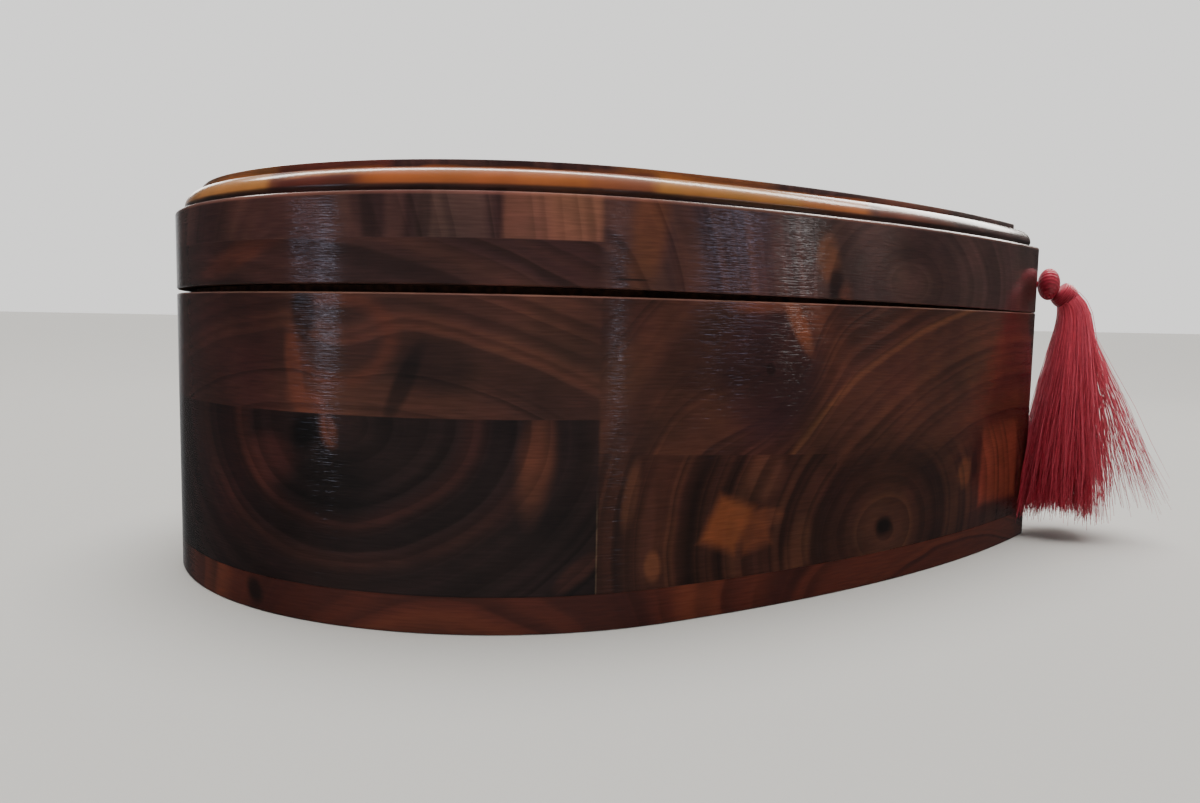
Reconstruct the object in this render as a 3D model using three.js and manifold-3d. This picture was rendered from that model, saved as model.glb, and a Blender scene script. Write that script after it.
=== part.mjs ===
// Heart-shaped wooden box with a lift-off lid and a silk tassel.
// Millimetres, +Z up. The heart's axis lies along X with its tip at +X, and the origin is at the middle
// of the heart's length, on the underside of the base board.

import * as THREE from "three";
import { mergeVertices } from "three/addons/utils/BufferGeometryUtils.js";
import Module from "manifold-3d";

// Heart outline
const LENGTH = 255;
const WIDTH = 248;
const FLANK_RADIUS = 404;
const SHOULDER_RADIUS = 95.5;
const LOBE_RADIUS = 60;
const LOBE_TURN = THREE.MathUtils.degToRad(55);
const CLEFT_RADIUS = 5;

// Box
const BASE_THICKNESS = 8.3;
const WALL_HEIGHT = 64.4;
const WALL_THICKNESS = 9;
const LIP_HEIGHT = 5;
const LIP_THICKNESS = 4;
const CLEARANCE = 0.3;

// Lid
const LID_SIDE_HEIGHT = 20;
const LID_TOP_THICKNESS = 10;
const SEAM_RISE = 1.45;
const STEP_HEIGHT = 0.8;
const STEP_DEPTH = 2.3;
const BEAD_RADIUS = 4.2;
const BEAD_LIFT = 2.1;
const RISER_HEIGHT = 1.8;
const TOP_ROUND = 0.4;

// Tassel
const CORD_DIAMETER = 2;
const CORD_SEAT = 6;
const CORD_DROP = 11;
const KNOT_LENGTH = 6.4;
const KNOT_BREADTH = 8.8;
const KNOT_HEIGHT = 10.2;
const BINDING_LENGTH = 4.6;
const BINDING_DIAMETER = 8.2;
const BINDING_TILT = THREE.MathUtils.degToRad(36);
const BINDING_BULGE = 1;
const SKIRT_LENGTH = 67;
const SKIRT_REACH = 12.6;
const SKIRT_SHOULDER = 7;
const SKIRT_HEAD_RADIUS = 4.2;
const SKIRT_HEM_RADIUS = 17.4;
const SKIRT_HEM_DEPTH = 14;
const SKIRT_FLARE = 0.85;
const SKIRT_FLUTES = 12;
const SKIRT_FLUTE_DEPTH = 0.8;

// Heights that follow
const wallTop = BASE_THICKNESS + WALL_HEIGHT;
const lidUnderside = wallTop + CLEARANCE;
const lidArris = lidUnderside + LID_SIDE_HEIGHT;
const beadCentre = lidArris + BEAD_LIFT;
const beadTop = beadCentre + BEAD_RADIUS;
const lidTop = beadTop + RISER_HEIGHT;
const cordHeight = lidArris - CORD_DROP;
const tipX = LENGTH / 2;
const knotStart = tipX + CLEARANCE;

// The heart's upper half is three arcs that run tangent into each other, the wide flank, the shoulder
// and the round lobe, and a small hollow arc in the cleft. The widest point lies on the shoulder, and
// the turn of the flank follows from the length. An inset keeps every centre and changes the radii.
function heartArcs() {
  const shoulderY = WIDTH / 2 - SHOULDER_RADIUS;
  const lobeShift = SHOULDER_RADIUS - LOBE_RADIUS;
  const tip = LENGTH - lobeShift * Math.sin(LOBE_TURN) - LOBE_RADIUS;
  const flankShift = FLANK_RADIUS - SHOULDER_RADIUS;
  const reach = Math.hypot(tip, shoulderY);
  const lever = (FLANK_RADIUS ** 2 - flankShift ** 2 - reach ** 2) / (2 * flankShift);
  const flankTurn = Math.atan2(shoulderY, tip) + Math.asin(lever / reach);
  const shoulderX = tipX - tip;
  const flank = new THREE.Vector2(
    shoulderX - flankShift * Math.sin(flankTurn),
    shoulderY - flankShift * Math.cos(flankTurn),
  );
  const shoulder = new THREE.Vector2(shoulderX, shoulderY);
  const lobe = new THREE.Vector2(
    shoulderX - lobeShift * Math.sin(LOBE_TURN),
    shoulderY + lobeShift * Math.cos(LOBE_TURN),
  );
  const cleftX = lobe.x - Math.sqrt((LOBE_RADIUS + CLEFT_RADIUS) ** 2 - lobe.y ** 2);
  return { flank, shoulder, lobe, cleftX, flankTurn };
}

// Counts of steps along the flank, the shoulder, the lobe and half of the cleft.
const HEART_STEPS = { flank: 12, shoulder: 16, lobe: 16, cleft: 3 };

// The whole outline, inset by a distance, as points that run anticlockwise from the tip. Angles are
// measured from +Y towards +X. Every inset gives as many points, so outlines can be joined by strips.
function heartOutline(inset) {
  const { flank, shoulder, lobe, cleftX, flankTurn } = heartArcs();
  const upper = [];
  const addArc = (centre, radius, from, to, steps) => {
    for (let i = 0; i < steps; i += 1) {
      const angle = from + ((to - from) * i) / steps;
      upper.push(
        new THREE.Vector2(centre.x + radius * Math.sin(angle), centre.y + radius * Math.cos(angle)),
      );
    }
  };
  const tipAngle = Math.acos(-flank.y / (FLANK_RADIUS - inset));
  const cleftAngle = Math.atan2(lobe.x - cleftX, lobe.y);
  const lobeEnd = cleftAngle - Math.PI;
  addArc(flank, FLANK_RADIUS - inset, tipAngle, flankTurn, HEART_STEPS.flank);
  addArc(shoulder, SHOULDER_RADIUS - inset, flankTurn, -LOBE_TURN, HEART_STEPS.shoulder);
  addArc(lobe, LOBE_RADIUS - inset, -LOBE_TURN, lobeEnd, HEART_STEPS.lobe);
  addArc(new THREE.Vector2(cleftX, 0), CLEFT_RADIUS + inset, cleftAngle, Math.PI / 2, HEART_STEPS.cleft);
  const cleft = new THREE.Vector2(cleftX + CLEFT_RADIUS + inset, 0);
  const lower = upper
    .slice(1)
    .reverse()
    .map((p) => new THREE.Vector2(p.x, -p.y));
  return [...upper, cleft, ...lower];
}

// One outline ring. Its height is a number, or a function of the outline's point.
function heartRing(inset, height) {
  return heartOutline(inset).map(
    (p) => new THREE.Vector3(p.x, p.y, typeof height === "function" ? height(p) : height),
  );
}

// A closed skin over a row of rings with equal counts of points. The rings either close on themselves,
// round a hollow, or end in flat caps. Rings run anticlockwise and upwards on the outer side.
function skinRings(rings, closed) {
  const count = rings[0].length;
  const positions = rings.flat().flatMap((p) => [p.x, p.y, p.z]);
  const index = [];
  const bands = closed ? rings.length : rings.length - 1;
  for (let band = 0; band < bands; band += 1) {
    const low = band * count;
    const high = ((band + 1) % rings.length) * count;
    for (let i = 0; i < count; i += 1) {
      const next = (i + 1) % count;
      index.push(low + i, low + next, high + next);
      index.push(low + i, high + next, high + i);
    }
  }
  if (!closed) {
    const capFaces = (ring, base, up) => {
      const flat = ring.map((p) => new THREE.Vector2(p.x, p.y));
      THREE.ShapeUtils.triangulateShape(flat, []).forEach(([a, b, c]) => {
        index.push(base + a, base + (up ? b : c), base + (up ? c : b));
      });
    };
    capFaces(rings[0], 0, false);
    capFaces(rings[rings.length - 1], (rings.length - 1) * count, true);
  }
  const geometry = new THREE.BufferGeometry();
  geometry.setAttribute("position", new THREE.Float32BufferAttribute(positions, 3));
  geometry.setIndex(index);
  return geometry;
}

// The same form with its shared corners merged.
function plainGeometry(geometry) {
  const copy = geometry.clone();
  copy.deleteAttribute("normal");
  copy.deleteAttribute("uv");
  return mergeVertices(copy, 1e-4);
}

const wasm = await Module();
wasm.setup();

function toSolid(geometry) {
  const plain = plainGeometry(geometry);
  return new wasm.Manifold(
    new wasm.Mesh({
      numProp: 3,
      vertProperties: new Float32Array(plain.attributes.position.array),
      triVerts: new Uint32Array(plain.index.array),
    }),
  );
}

function toGeometry(solid) {
  const mesh = solid.getMesh();
  const geometry = new THREE.BufferGeometry();
  geometry.setAttribute("position", new THREE.Float32BufferAttribute(mesh.vertProperties, 3));
  geometry.setIndex(new THREE.Uint32BufferAttribute(mesh.triVerts, 1));
  return geometry;
}

// Turns a form that stands along Y to lie along X.
function alongX(geometry) {
  return geometry.rotateZ(-Math.PI / 2);
}

// Materials
const baseWood = new THREE.MeshStandardMaterial({ color: 0x7a3018, roughness: 0.28, metalness: 0 });
const wallWood = new THREE.MeshStandardMaterial({ color: 0x4a1d12, roughness: 0.22, metalness: 0 });
const lidWood = new THREE.MeshStandardMaterial({ color: 0x552416, roughness: 0.2, metalness: 0 });
const silkThread = new THREE.MeshStandardMaterial({ color: 0xb02a38, roughness: 0.55, metalness: 0 });
const silkWrap = new THREE.MeshStandardMaterial({ color: 0x8c1f2e, roughness: 0.6, metalness: 0 });

// Base board: the plain outline, flat on both sides.
function makeBaseBoard() {
  const shape = new THREE.Shape(heartOutline(0));
  return new THREE.ExtrudeGeometry(shape, { depth: BASE_THICKNESS, bevelEnabled: false });
}

// Wall: an open ring with a lip along its inner side, which stands up inside the lid.
function makeBoxWall() {
  const lipOuter = WALL_THICKNESS - LIP_THICKNESS;
  return skinRings(
    [
      heartRing(0, BASE_THICKNESS),
      heartRing(0, wallTop),
      heartRing(lipOuter, wallTop),
      heartRing(lipOuter, wallTop + LIP_HEIGHT),
      heartRing(WALL_THICKNESS, wallTop + LIP_HEIGHT),
      heartRing(WALL_THICKNESS, BASE_THICKNESS),
    ],
    true,
  );
}

// The lid's underside meets the wall at the tip and the cleft, and lifts towards both lobes.
function seamHeight(point) {
  return lidUnderside + (SEAM_RISE * Math.abs(point.y)) / (WIDTH / 2);
}

// Routed edge of the lid, as pairs of inset and height from the side's top arris upwards: a small step
// with a softened arris, a quirk, a quarter-round bead, a riser and the rounded edge of the flat top.
function lidEdgeProfile() {
  const beadInset = STEP_DEPTH + BEAD_RADIUS;
  const profile = [
    [0, lidArris],
    [STEP_HEIGHT / 2, lidArris + STEP_HEIGHT * 0.75],
    [STEP_HEIGHT, lidArris + STEP_HEIGHT],
    [STEP_DEPTH + TOP_ROUND, lidArris + STEP_HEIGHT],
    [STEP_DEPTH, beadCentre],
  ];
  const beadSteps = 5;
  for (let i = 1; i <= beadSteps; i += 1) {
    const angle = (Math.PI / 2) * (i / beadSteps);
    profile.push([beadInset - BEAD_RADIUS * Math.cos(angle), beadCentre + BEAD_RADIUS * Math.sin(angle)]);
  }
  profile.push([beadInset + TOP_ROUND / 2, beadTop]);
  profile.push([beadInset + TOP_ROUND / 2, lidTop - TOP_ROUND]);
  profile.push([beadInset + TOP_ROUND * 1.5, lidTop]);
  return profile;
}

// Lid: one hollowed blank. The hollow's ring of steps starts at its ceiling, comes down to the rebate
// that the lip stands in, and goes out to the side and up over the routed edge.
function makeLid() {
  const rebateInset = WALL_THICKNESS - LIP_THICKNESS - CLEARANCE;
  const rebateTop = wallTop + LIP_HEIGHT + CLEARANCE;
  const ceiling = lidTop - LID_TOP_THICKNESS;
  const rings = [
    heartRing(WALL_THICKNESS, ceiling),
    heartRing(WALL_THICKNESS, rebateTop),
    heartRing(rebateInset, rebateTop),
    heartRing(rebateInset, seamHeight),
    heartRing(0, seamHeight),
    ...lidEdgeProfile().map(([inset, height]) => heartRing(inset, height)),
  ];
  const holeRadius = CORD_DIAMETER / 2 + CLEARANCE;
  const bore = alongX(new THREE.CylinderGeometry(holeRadius, holeRadius, 2 * CORD_SEAT, 12));
  bore.translate(tipX, 0, cordHeight);
  return toGeometry(toSolid(skinRings(rings, false)).subtract(toSolid(bore)));
}

// Cord: glued into the hole, its outer end level with the tip.
function makeCord() {
  const length = CORD_SEAT - CLEARANCE;
  const cord = alongX(new THREE.CylinderGeometry(CORD_DIAMETER / 2, CORD_DIAMETER / 2, length, 12));
  return cord.translate(tipX - length / 2, 0, cordHeight);
}

// Knot: an oval ball drawn tight against the tip.
function makeKnot() {
  const knot = new THREE.SphereGeometry(0.5, 20, 12);
  knot.scale(KNOT_LENGTH, KNOT_BREADTH, KNOT_HEIGHT);
  return knot.translate(knotCentre.x, knotCentre.y, knotCentre.z);
}

// The binding follows the knot along its own tilted axis, clear of the knot's round surface.
const bindingAxis = new THREE.Vector3(Math.cos(BINDING_TILT), 0, -Math.sin(BINDING_TILT));
const knotReach = 0.5 / Math.hypot(bindingAxis.x / KNOT_LENGTH, bindingAxis.z / KNOT_HEIGHT);
const knotCentre = new THREE.Vector3(knotStart + KNOT_LENGTH / 2, 0, cordHeight);
const bindingCentre = knotCentre
  .clone()
  .addScaledVector(bindingAxis, knotReach + CLEARANCE + BINDING_LENGTH / 2);

// The binding is a drum whose side bulges, tilted down so that its axis points at the skirt.
function makeBinding() {
  const endRadius = BINDING_DIAMETER / 2 - BINDING_BULGE;
  const profile = [new THREE.Vector2(0, -BINDING_LENGTH / 2)];
  const steps = 6;
  for (let i = 0; i <= steps; i += 1) {
    const angle = Math.PI * (i / steps);
    const along = (-BINDING_LENGTH / 2) * Math.cos(angle);
    profile.push(new THREE.Vector2(endRadius + BINDING_BULGE * Math.sin(angle), along));
  }
  profile.push(new THREE.Vector2(0, BINDING_LENGTH / 2));
  const drum = new THREE.LatheGeometry(profile, 20);
  const turn = new THREE.Quaternion().setFromUnitVectors(new THREE.Vector3(0, 1, 0), bindingAxis);
  drum.applyQuaternion(turn);
  return drum.translate(bindingCentre.x, bindingCentre.y, bindingCentre.z);
}

// The skirt's threads leave the binding along its axis, bend over at the shoulder and hang straight down.
function skirtPath() {
  const head = bindingCentre.clone().addScaledVector(bindingAxis, BINDING_LENGTH / 2 + CLEARANCE);
  const hem = new THREE.Vector3(tipX + SKIRT_REACH, 0, head.z - SKIRT_LENGTH);
  const shoulder = new THREE.Vector3(hem.x, 0, head.z - SKIRT_SHOULDER);
  const neck = head.clone().addScaledVector(bindingAxis, CORD_DIAMETER);
  const middle = shoulder.clone().lerp(hem, 0.5);
  return new THREE.CatmullRomCurve3([head, neck, shoulder, middle, hem]);
}

// The skirt's sections are fluted ovals that widen towards the hem.
function makeSkirt() {
  const path = skirtPath();
  const rings = [];
  const ringSteps = 12;
  const around = 36;
  for (let step = 0; step <= ringSteps; step += 1) {
    const t = step / ringSteps;
    const spread = t ** SKIRT_FLARE;
    const centre = path.getPointAt(t);
    const tangent = path.getTangentAt(t);
    const side = new THREE.Vector3(-tangent.z, 0, tangent.x);
    const width = THREE.MathUtils.lerp(SKIRT_HEAD_RADIUS, SKIRT_HEM_RADIUS, spread);
    const depth = THREE.MathUtils.lerp(SKIRT_HEAD_RADIUS, SKIRT_HEM_DEPTH, spread);
    const ring = [];
    for (let i = 0; i < around; i += 1) {
      const angle = (2 * Math.PI * i) / around;
      const flute = SKIRT_FLUTE_DEPTH * spread * Math.cos(SKIRT_FLUTES * angle);
      const point = centre.clone().addScaledVector(side, (width + flute) * Math.cos(angle));
      point.y += (depth + flute) * Math.sin(angle);
      ring.push(point);
    }
    rings.push(ring);
  }
  return skirtAroundCorner(closeFans(rings));
}

// A closed skin over rings, with a point in the middle of each end.
function closeFans(rings) {
  const count = rings[0].length;
  const centres = [rings[0], rings[rings.length - 1]].map((ring) =>
    ring.reduce((sum, p) => sum.add(p), new THREE.Vector3()).divideScalar(count),
  );
  const positions = [...rings.flat(), ...centres].flatMap((p) => [p.x, p.y, p.z]);
  const index = [];
  for (let band = 0; band < rings.length - 1; band += 1) {
    for (let i = 0; i < count; i += 1) {
      const next = (i + 1) % count;
      const low = band * count;
      const high = low + count;
      index.push(low + i, high + next, low + next);
      index.push(low + i, high + i, high + next);
    }
  }
  const last = (rings.length - 1) * count;
  for (let i = 0; i < count; i += 1) {
    const next = (i + 1) % count;
    index.push(rings.length * count, i, next);
    index.push(rings.length * count + 1, last + next, last + i);
  }
  const geometry = new THREE.BufferGeometry();
  geometry.setAttribute("position", new THREE.Float32BufferAttribute(positions, 3));
  geometry.setIndex(index);
  return geometry;
}

// The corner of the box parts the skirt where they meet.
function skirtAroundCorner(skirt) {
  const corner = skinRings([heartRing(-CLEARANCE, -CLEARANCE), heartRing(-CLEARANCE, lidTop)], false);
  return toGeometry(toSolid(skirt).subtract(toSolid(corner)));
}

const part = new THREE.Group();
const pieces = [
  ["base_board", makeBaseBoard(), baseWood],
  ["box_wall", makeBoxWall(), wallWood],
  ["lid", makeLid(), lidWood],
  ["tassel_cord", makeCord(), silkWrap],
  ["tassel_knot", makeKnot(), silkWrap],
  ["tassel_binding", makeBinding(), silkWrap],
  ["tassel_skirt", makeSkirt(), silkThread],
];
pieces.forEach(([name, geometry, material]) => {
  geometry.computeVertexNormals();
  const mesh = new THREE.Mesh(geometry, material);
  mesh.name = name;
  part.add(mesh);
});

export default part;
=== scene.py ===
"""Heart-shaped lacquered box of glued end-grain blocks with a silk tassel, built round its CAD frame.

Metres, +Z up. The heart's axis lies along X with its tip at +X, and the floor is at z = 0.
"""

import logging
import math
from dataclasses import dataclass
from enum import Enum

import bpy
import numpy as np
from mathutils import Matrix, Vector


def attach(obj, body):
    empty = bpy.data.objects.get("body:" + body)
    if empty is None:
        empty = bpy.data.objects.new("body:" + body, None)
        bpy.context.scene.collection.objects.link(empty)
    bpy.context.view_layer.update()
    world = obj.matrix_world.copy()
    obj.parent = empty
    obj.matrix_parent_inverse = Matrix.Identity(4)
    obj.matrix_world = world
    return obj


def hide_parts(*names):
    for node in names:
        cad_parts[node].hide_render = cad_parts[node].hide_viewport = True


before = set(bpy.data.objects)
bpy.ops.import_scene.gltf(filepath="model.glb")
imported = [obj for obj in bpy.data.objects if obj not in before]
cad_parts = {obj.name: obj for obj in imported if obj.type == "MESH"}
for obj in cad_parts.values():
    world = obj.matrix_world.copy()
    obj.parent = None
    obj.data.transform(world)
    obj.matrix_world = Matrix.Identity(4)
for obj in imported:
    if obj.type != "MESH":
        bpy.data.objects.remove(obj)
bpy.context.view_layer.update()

MM = 0.001
BODY = "root"
TONE = "thread_tone"
log = logging.getLogger("heart_box")

Array = np.ndarray
Pair = tuple[float, float]
Triple = tuple[float, float, float]
Shades = tuple[str, str, str]
Band = tuple[int, int, int]
Object = bpy.types.Object
Material = bpy.types.Material
Tree = bpy.types.NodeTree
Socket = bpy.types.NodeSocket

# The setting that names a node's mode, where it isn't its operation.
MODES = {
    "Mix": "data_type",
    "MapRange": "interpolation_type",
    "TexNoise": "noise_dimensions",
    "TexWhiteNoise": "noise_dimensions",
    "Mapping": "vector_type",
}


def linear(hex_colour: str) -> tuple[float, float, float, float]:
    """Turns an sRGB hex colour into linear RGBA.

    Args:
        hex_colour: Six hex digits after a "#".

    Returns:
        Linear red, green, blue and an alpha of 1.
    """
    channels = [int(hex_colour[i : i + 2], 16) / 255 for i in (1, 3, 5)]
    straight = [c / 12.92 if c <= 0.04045 else ((c + 0.055) / 1.055) ** 2.4 for c in channels]
    return (*straight, 1.0)


def add(tree: Tree, kind: str, inputs: dict | None = None, out: int | str = 0, **settings) -> Socket | None:
    """Adds one shader node with its settings, values and links.

    Args:
        tree: The node tree that the node goes into.
        kind: Node type without its "ShaderNode" prefix and, after a space, its mode.
        inputs: Values or sockets by input name or index; a socket is linked.
        out: Which output is wanted.
        **settings: The node's own properties.

    Returns:
        That output, or None from an output node.
    """
    kind, _, mode = kind.partition(" ")
    if mode:
        settings[MODES.get(kind, "operation")] = mode
    node = tree.nodes.new("ShaderNode" + kind)
    for name, value in settings.items():
        setattr(node, name, value)
    for key, value in (inputs or {}).items():
        if isinstance(value, Socket):
            tree.links.new(value, node.inputs[key])
        else:
            node.inputs[key].default_value = value
    return node.outputs[out] if node.outputs else None


def put(name: str, data: bpy.types.ID) -> Object:
    """Makes an object for a mesh, light or camera and links it to the scene.

    Args:
        name: The object's name.
        data: What it holds.

    Returns:
        The new object at the origin.
    """
    thing = bpy.data.objects.new(name, data)
    bpy.context.scene.collection.objects.link(thing)
    return thing


def new_mesh(name: str, points: Array, faces: list, sharp: float = 30.0) -> Object:
    """Puts arrays of points and faces into a smooth-shaded object at the origin.

    Args:
        name: The piece's name.
        points: Points of shape (..., 3).
        faces: Corner indices of each face.
        sharp: Degrees of turn above which an edge stays sharp.

    Returns:
        The new object.
    """
    mesh = bpy.data.meshes.new(name)
    mesh.from_pydata(points.reshape(-1, 3).tolist(), [], faces)
    mesh.shade_smooth()
    mesh.set_sharp_from_angle(angle=math.radians(sharp))
    return put(name, mesh)


def skin_faces(rows: int, count: int, loop: bool = False) -> Array:
    """Quads of a grid of closed rings: point i of ring r joins point i + 1 and ring r + 1.

    Args:
        rows: Number of rings.
        count: Points in each ring.
        loop: Whether the last ring joins the first.

    Returns:
        Corner indices of shape (faces, 4).
    """
    low = np.arange(rows if loop else rows - 1)[:, None] * count
    high = (low + count) % (rows * count)
    here = np.arange(count)[None, :]
    there = (here + 1) % count
    return np.stack([low + here, low + there, high + there, high + here], axis=-1).reshape(-1, 4)


def skin(
    name: str, rings: Array, loop: bool = False, sharp: float = 30.0, finishes: tuple[Band, ...] = ()
) -> Object:
    """Skins rings that run anticlockwise and upwards outside; open ends close on their middle point.

    Args:
        name: The piece's name.
        rings: Points of shape (rings, points, 3).
        loop: Whether the last ring joins the first, round a hollow.
        sharp: Degrees of turn above which an edge stays sharp.
        finishes: First band, the one after the last, and the material number of bands in another finish.

    Returns:
        The new object.
    """
    rows, count = rings.shape[:2]
    points = rings.reshape(-1, 3)
    faces = skin_faces(rows, count, loop).tolist()
    band = np.arange(len(faces)) // count
    kinds = np.zeros(len(faces), dtype=np.int32)
    for start, end, kind in finishes:
        kinds[(band >= start) & (band < end)] = kind
    if not loop:
        here = np.arange(count)
        there = (here + 1) % count
        first, last, top = len(points), len(points) + 1, (rows - 1) * count
        faces += np.stack([np.full(count, first), there, here], axis=-1).tolist()
        faces += np.stack([np.full(count, last), top + here, top + there], axis=-1).tolist()
        points = np.vstack([points, rings[0].mean(axis=0), rings[-1].mean(axis=0)])
        kinds = np.concatenate([kinds, np.full(count, kinds[0]), np.full(count, kinds[-1])])
    piece = new_mesh(name, points, faces, sharp)
    piece.data.polygons.foreach_set("material_index", kinds.astype(np.int32))
    return piece


def set_tone(piece: Object, tone: Array) -> None:
    """Stores each vertex's tone for the silk."""
    piece.data.attributes.new(TONE, "FLOAT", "POINT").data.foreach_set("value", tone.astype(np.float32))


def dress(piece: Object, finishes: list[Material], slot: str, *nodes: str) -> None:
    """Gives a piece its finish and body, hides the CAD nodes it stands for and names them in the log.

    Args:
        piece: The finished piece.
        finishes: One material for each of its faces' material numbers.
        slot: The record's material slot; not used.
        *nodes: Names of the CAD nodes that it replaces.
    """
    for material in finishes:
        piece.data.materials.append(material)
    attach(piece, BODY)
    if nodes:
        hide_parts(*nodes)
    log.info("%s: %d faces, stands for %s", piece.name, len(piece.data.polygons), ", ".join(nodes) or "-")


@dataclass(frozen=True)
class HeartOutline:
    """Plan of the box: three tangent arcs on each side, a small hollow arc in the cleft and an eased tip.

    An inset keeps every centre and changes the radii, as a router bit that follows the edge does.
    """

    length: float = 255 * MM
    width: float = 248 * MM
    flank_radius: float = 404 * MM
    shoulder_radius: float = 95.5 * MM
    lobe_radius: float = 60 * MM
    lobe_turn: float = math.radians(55)
    cleft_radius: float = 5 * MM
    tip_radius: float = 0.6 * MM
    nose_least: float = 0.05 * MM
    steps: tuple[int, ...] = (5, 64, 40, 48, 10)

    @property
    def tip(self) -> float:
        """X of the tip before it is eased."""
        return self.length / 2

    def centres(self) -> tuple[Pair, Pair, Pair, float, float]:
        """Centres of the arcs on the +Y side.

        Returns:
            Flank, shoulder and lobe centre, the cleft's x and the angle where the flank ends.
        """
        shoulder_y = self.width / 2 - self.shoulder_radius
        shift = self.shoulder_radius - self.lobe_radius
        reach_x = self.length - shift * math.sin(self.lobe_turn) - self.lobe_radius
        spread = self.flank_radius - self.shoulder_radius
        reach = math.hypot(reach_x, shoulder_y)
        lever = (self.flank_radius**2 - spread**2 - reach**2) / (2 * spread)
        turn = math.atan2(shoulder_y, reach_x) + math.asin(lever / reach)
        shoulder_x = self.tip - reach_x
        flank = (shoulder_x - spread * math.sin(turn), shoulder_y - spread * math.cos(turn))
        lobe = (shoulder_x - shift * math.sin(self.lobe_turn), shoulder_y + shift * math.cos(self.lobe_turn))
        cleft_x = lobe[0] - math.sqrt((self.lobe_radius + self.cleft_radius) ** 2 - lobe[1] ** 2)
        return flank, (shoulder_x, shoulder_y), lobe, cleft_x, turn

    def plan(self, inset: float, nose_least: float) -> Array:
        """Points anticlockwise from the tip: x = centre + r sin(a), y = centre + r cos(a) on each arc.

        Args:
            inset: Distance inwards from the outline.
            nose_least: Smallest radius left on the tip.

        Returns:
            Points of shape (n, 2).
        """
        flank, shoulder, lobe, cleft_x, turn = self.centres()
        nose = max(self.tip_radius - inset, nose_least)
        bend = self.flank_radius - inset - nose
        nose_x = flank[0] + math.sqrt(bend**2 - flank[1] ** 2)
        start = math.acos(-flank[1] / bend)
        cleft = math.atan2(lobe[0] - cleft_x, lobe[1])
        arcs = (
            ((nose_x, 0.0), nose, math.pi / 2, start),
            (flank, self.flank_radius - inset, start, turn),
            (shoulder, self.shoulder_radius - inset, turn, -self.lobe_turn),
            (lobe, self.lobe_radius - inset, -self.lobe_turn, cleft - math.pi),
            ((cleft_x, 0.0), self.cleft_radius + inset, cleft, math.pi / 2),
        )
        parts = []
        for (centre, radius, begin, end), count in zip(arcs, self.steps):
            angle = np.linspace(begin, end, count, endpoint=False)
            parts.append(np.array(centre) + radius * np.stack([np.sin(angle), np.cos(angle)], 1))
        upper = np.vstack([*parts, [[cleft_x + self.cleft_radius + inset, 0.0]]])
        lower = upper[1:-1][::-1] * (1, -1)
        return np.vstack([upper, lower])

    def rings(self, profile: list[Pair], nose_least: float | None = None) -> Array:
        """One level ring for each pair of inset and height.

        Args:
            profile: Pairs of inset and height, in metres.
            nose_least: Smallest radius left on the tip, if not the usual one.

        Returns:
            Points of shape (rings, points, 3).
        """
        plans = [self.plan(inset, nose_least or self.nose_least) for inset, _ in profile]
        return np.stack([np.column_stack([p, np.full(len(p), z)]) for p, (_, z) in zip(plans, profile)])

    def half_width(self, x: Array) -> Array:
        """Half of the box's width at x: the flank centre's y + sqrt(R^2 - (x - its x)^2), at least 0."""
        centre_x, centre_y = self.centres()[0]
        return np.maximum(centre_y + np.sqrt(self.flank_radius**2 - (x - centre_x) ** 2), 0.0)


def held(profile: list[Pair], reach: float = 0.2 * MM) -> list[Pair]:
    """Adds a point just inside both ends of each long straight, which keeps its smooth shading flat.

    Args:
        profile: Pairs of inset and height.
        reach: Distance of the new points from the ends.

    Returns:
        The longer profile.
    """
    points = [profile[0]]
    for start, end in zip(profile, profile[1:]):
        length = math.dist(start, end)
        if length > 4 * reach:
            for share in (reach / length, 1 - reach / length):
                points.append(tuple(a + share * (b - a) for a, b in zip(start, end)))
        points.append(end)
    return points


def shrink(ring: Array, steps: int = 3) -> Array:
    """Rings of a flat cap: the outline drawn in towards its middle, m + s (p - m) for falling s.

    Args:
        ring: The outline, of shape (points, 3).
        steps: Number of rings.

    Returns:
        The rings from the outline inwards, without the outline itself.
    """
    middle = ring.mean(axis=0)
    scale = np.linspace(1, 0, steps + 1, endpoint=False)[1:, None, None]
    return middle + scale * (ring[None] - middle)


class Form(Enum):
    """Outline of a place in the wood's figure."""

    OVAL = "oval"
    BLOCK = "crisp block"
    PATCH = "soft block"
    BAND = "soft straight band"
    RING = "ring along an oval"


OVAL, BLOCK, PATCH, BAND, RING = Form


@dataclass(frozen=True)
class Grain:
    """A material's nodes and the place in its wood, in metres, without and with its slow wander."""

    tree: Tree
    straight: Socket
    warped: Socket


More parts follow.
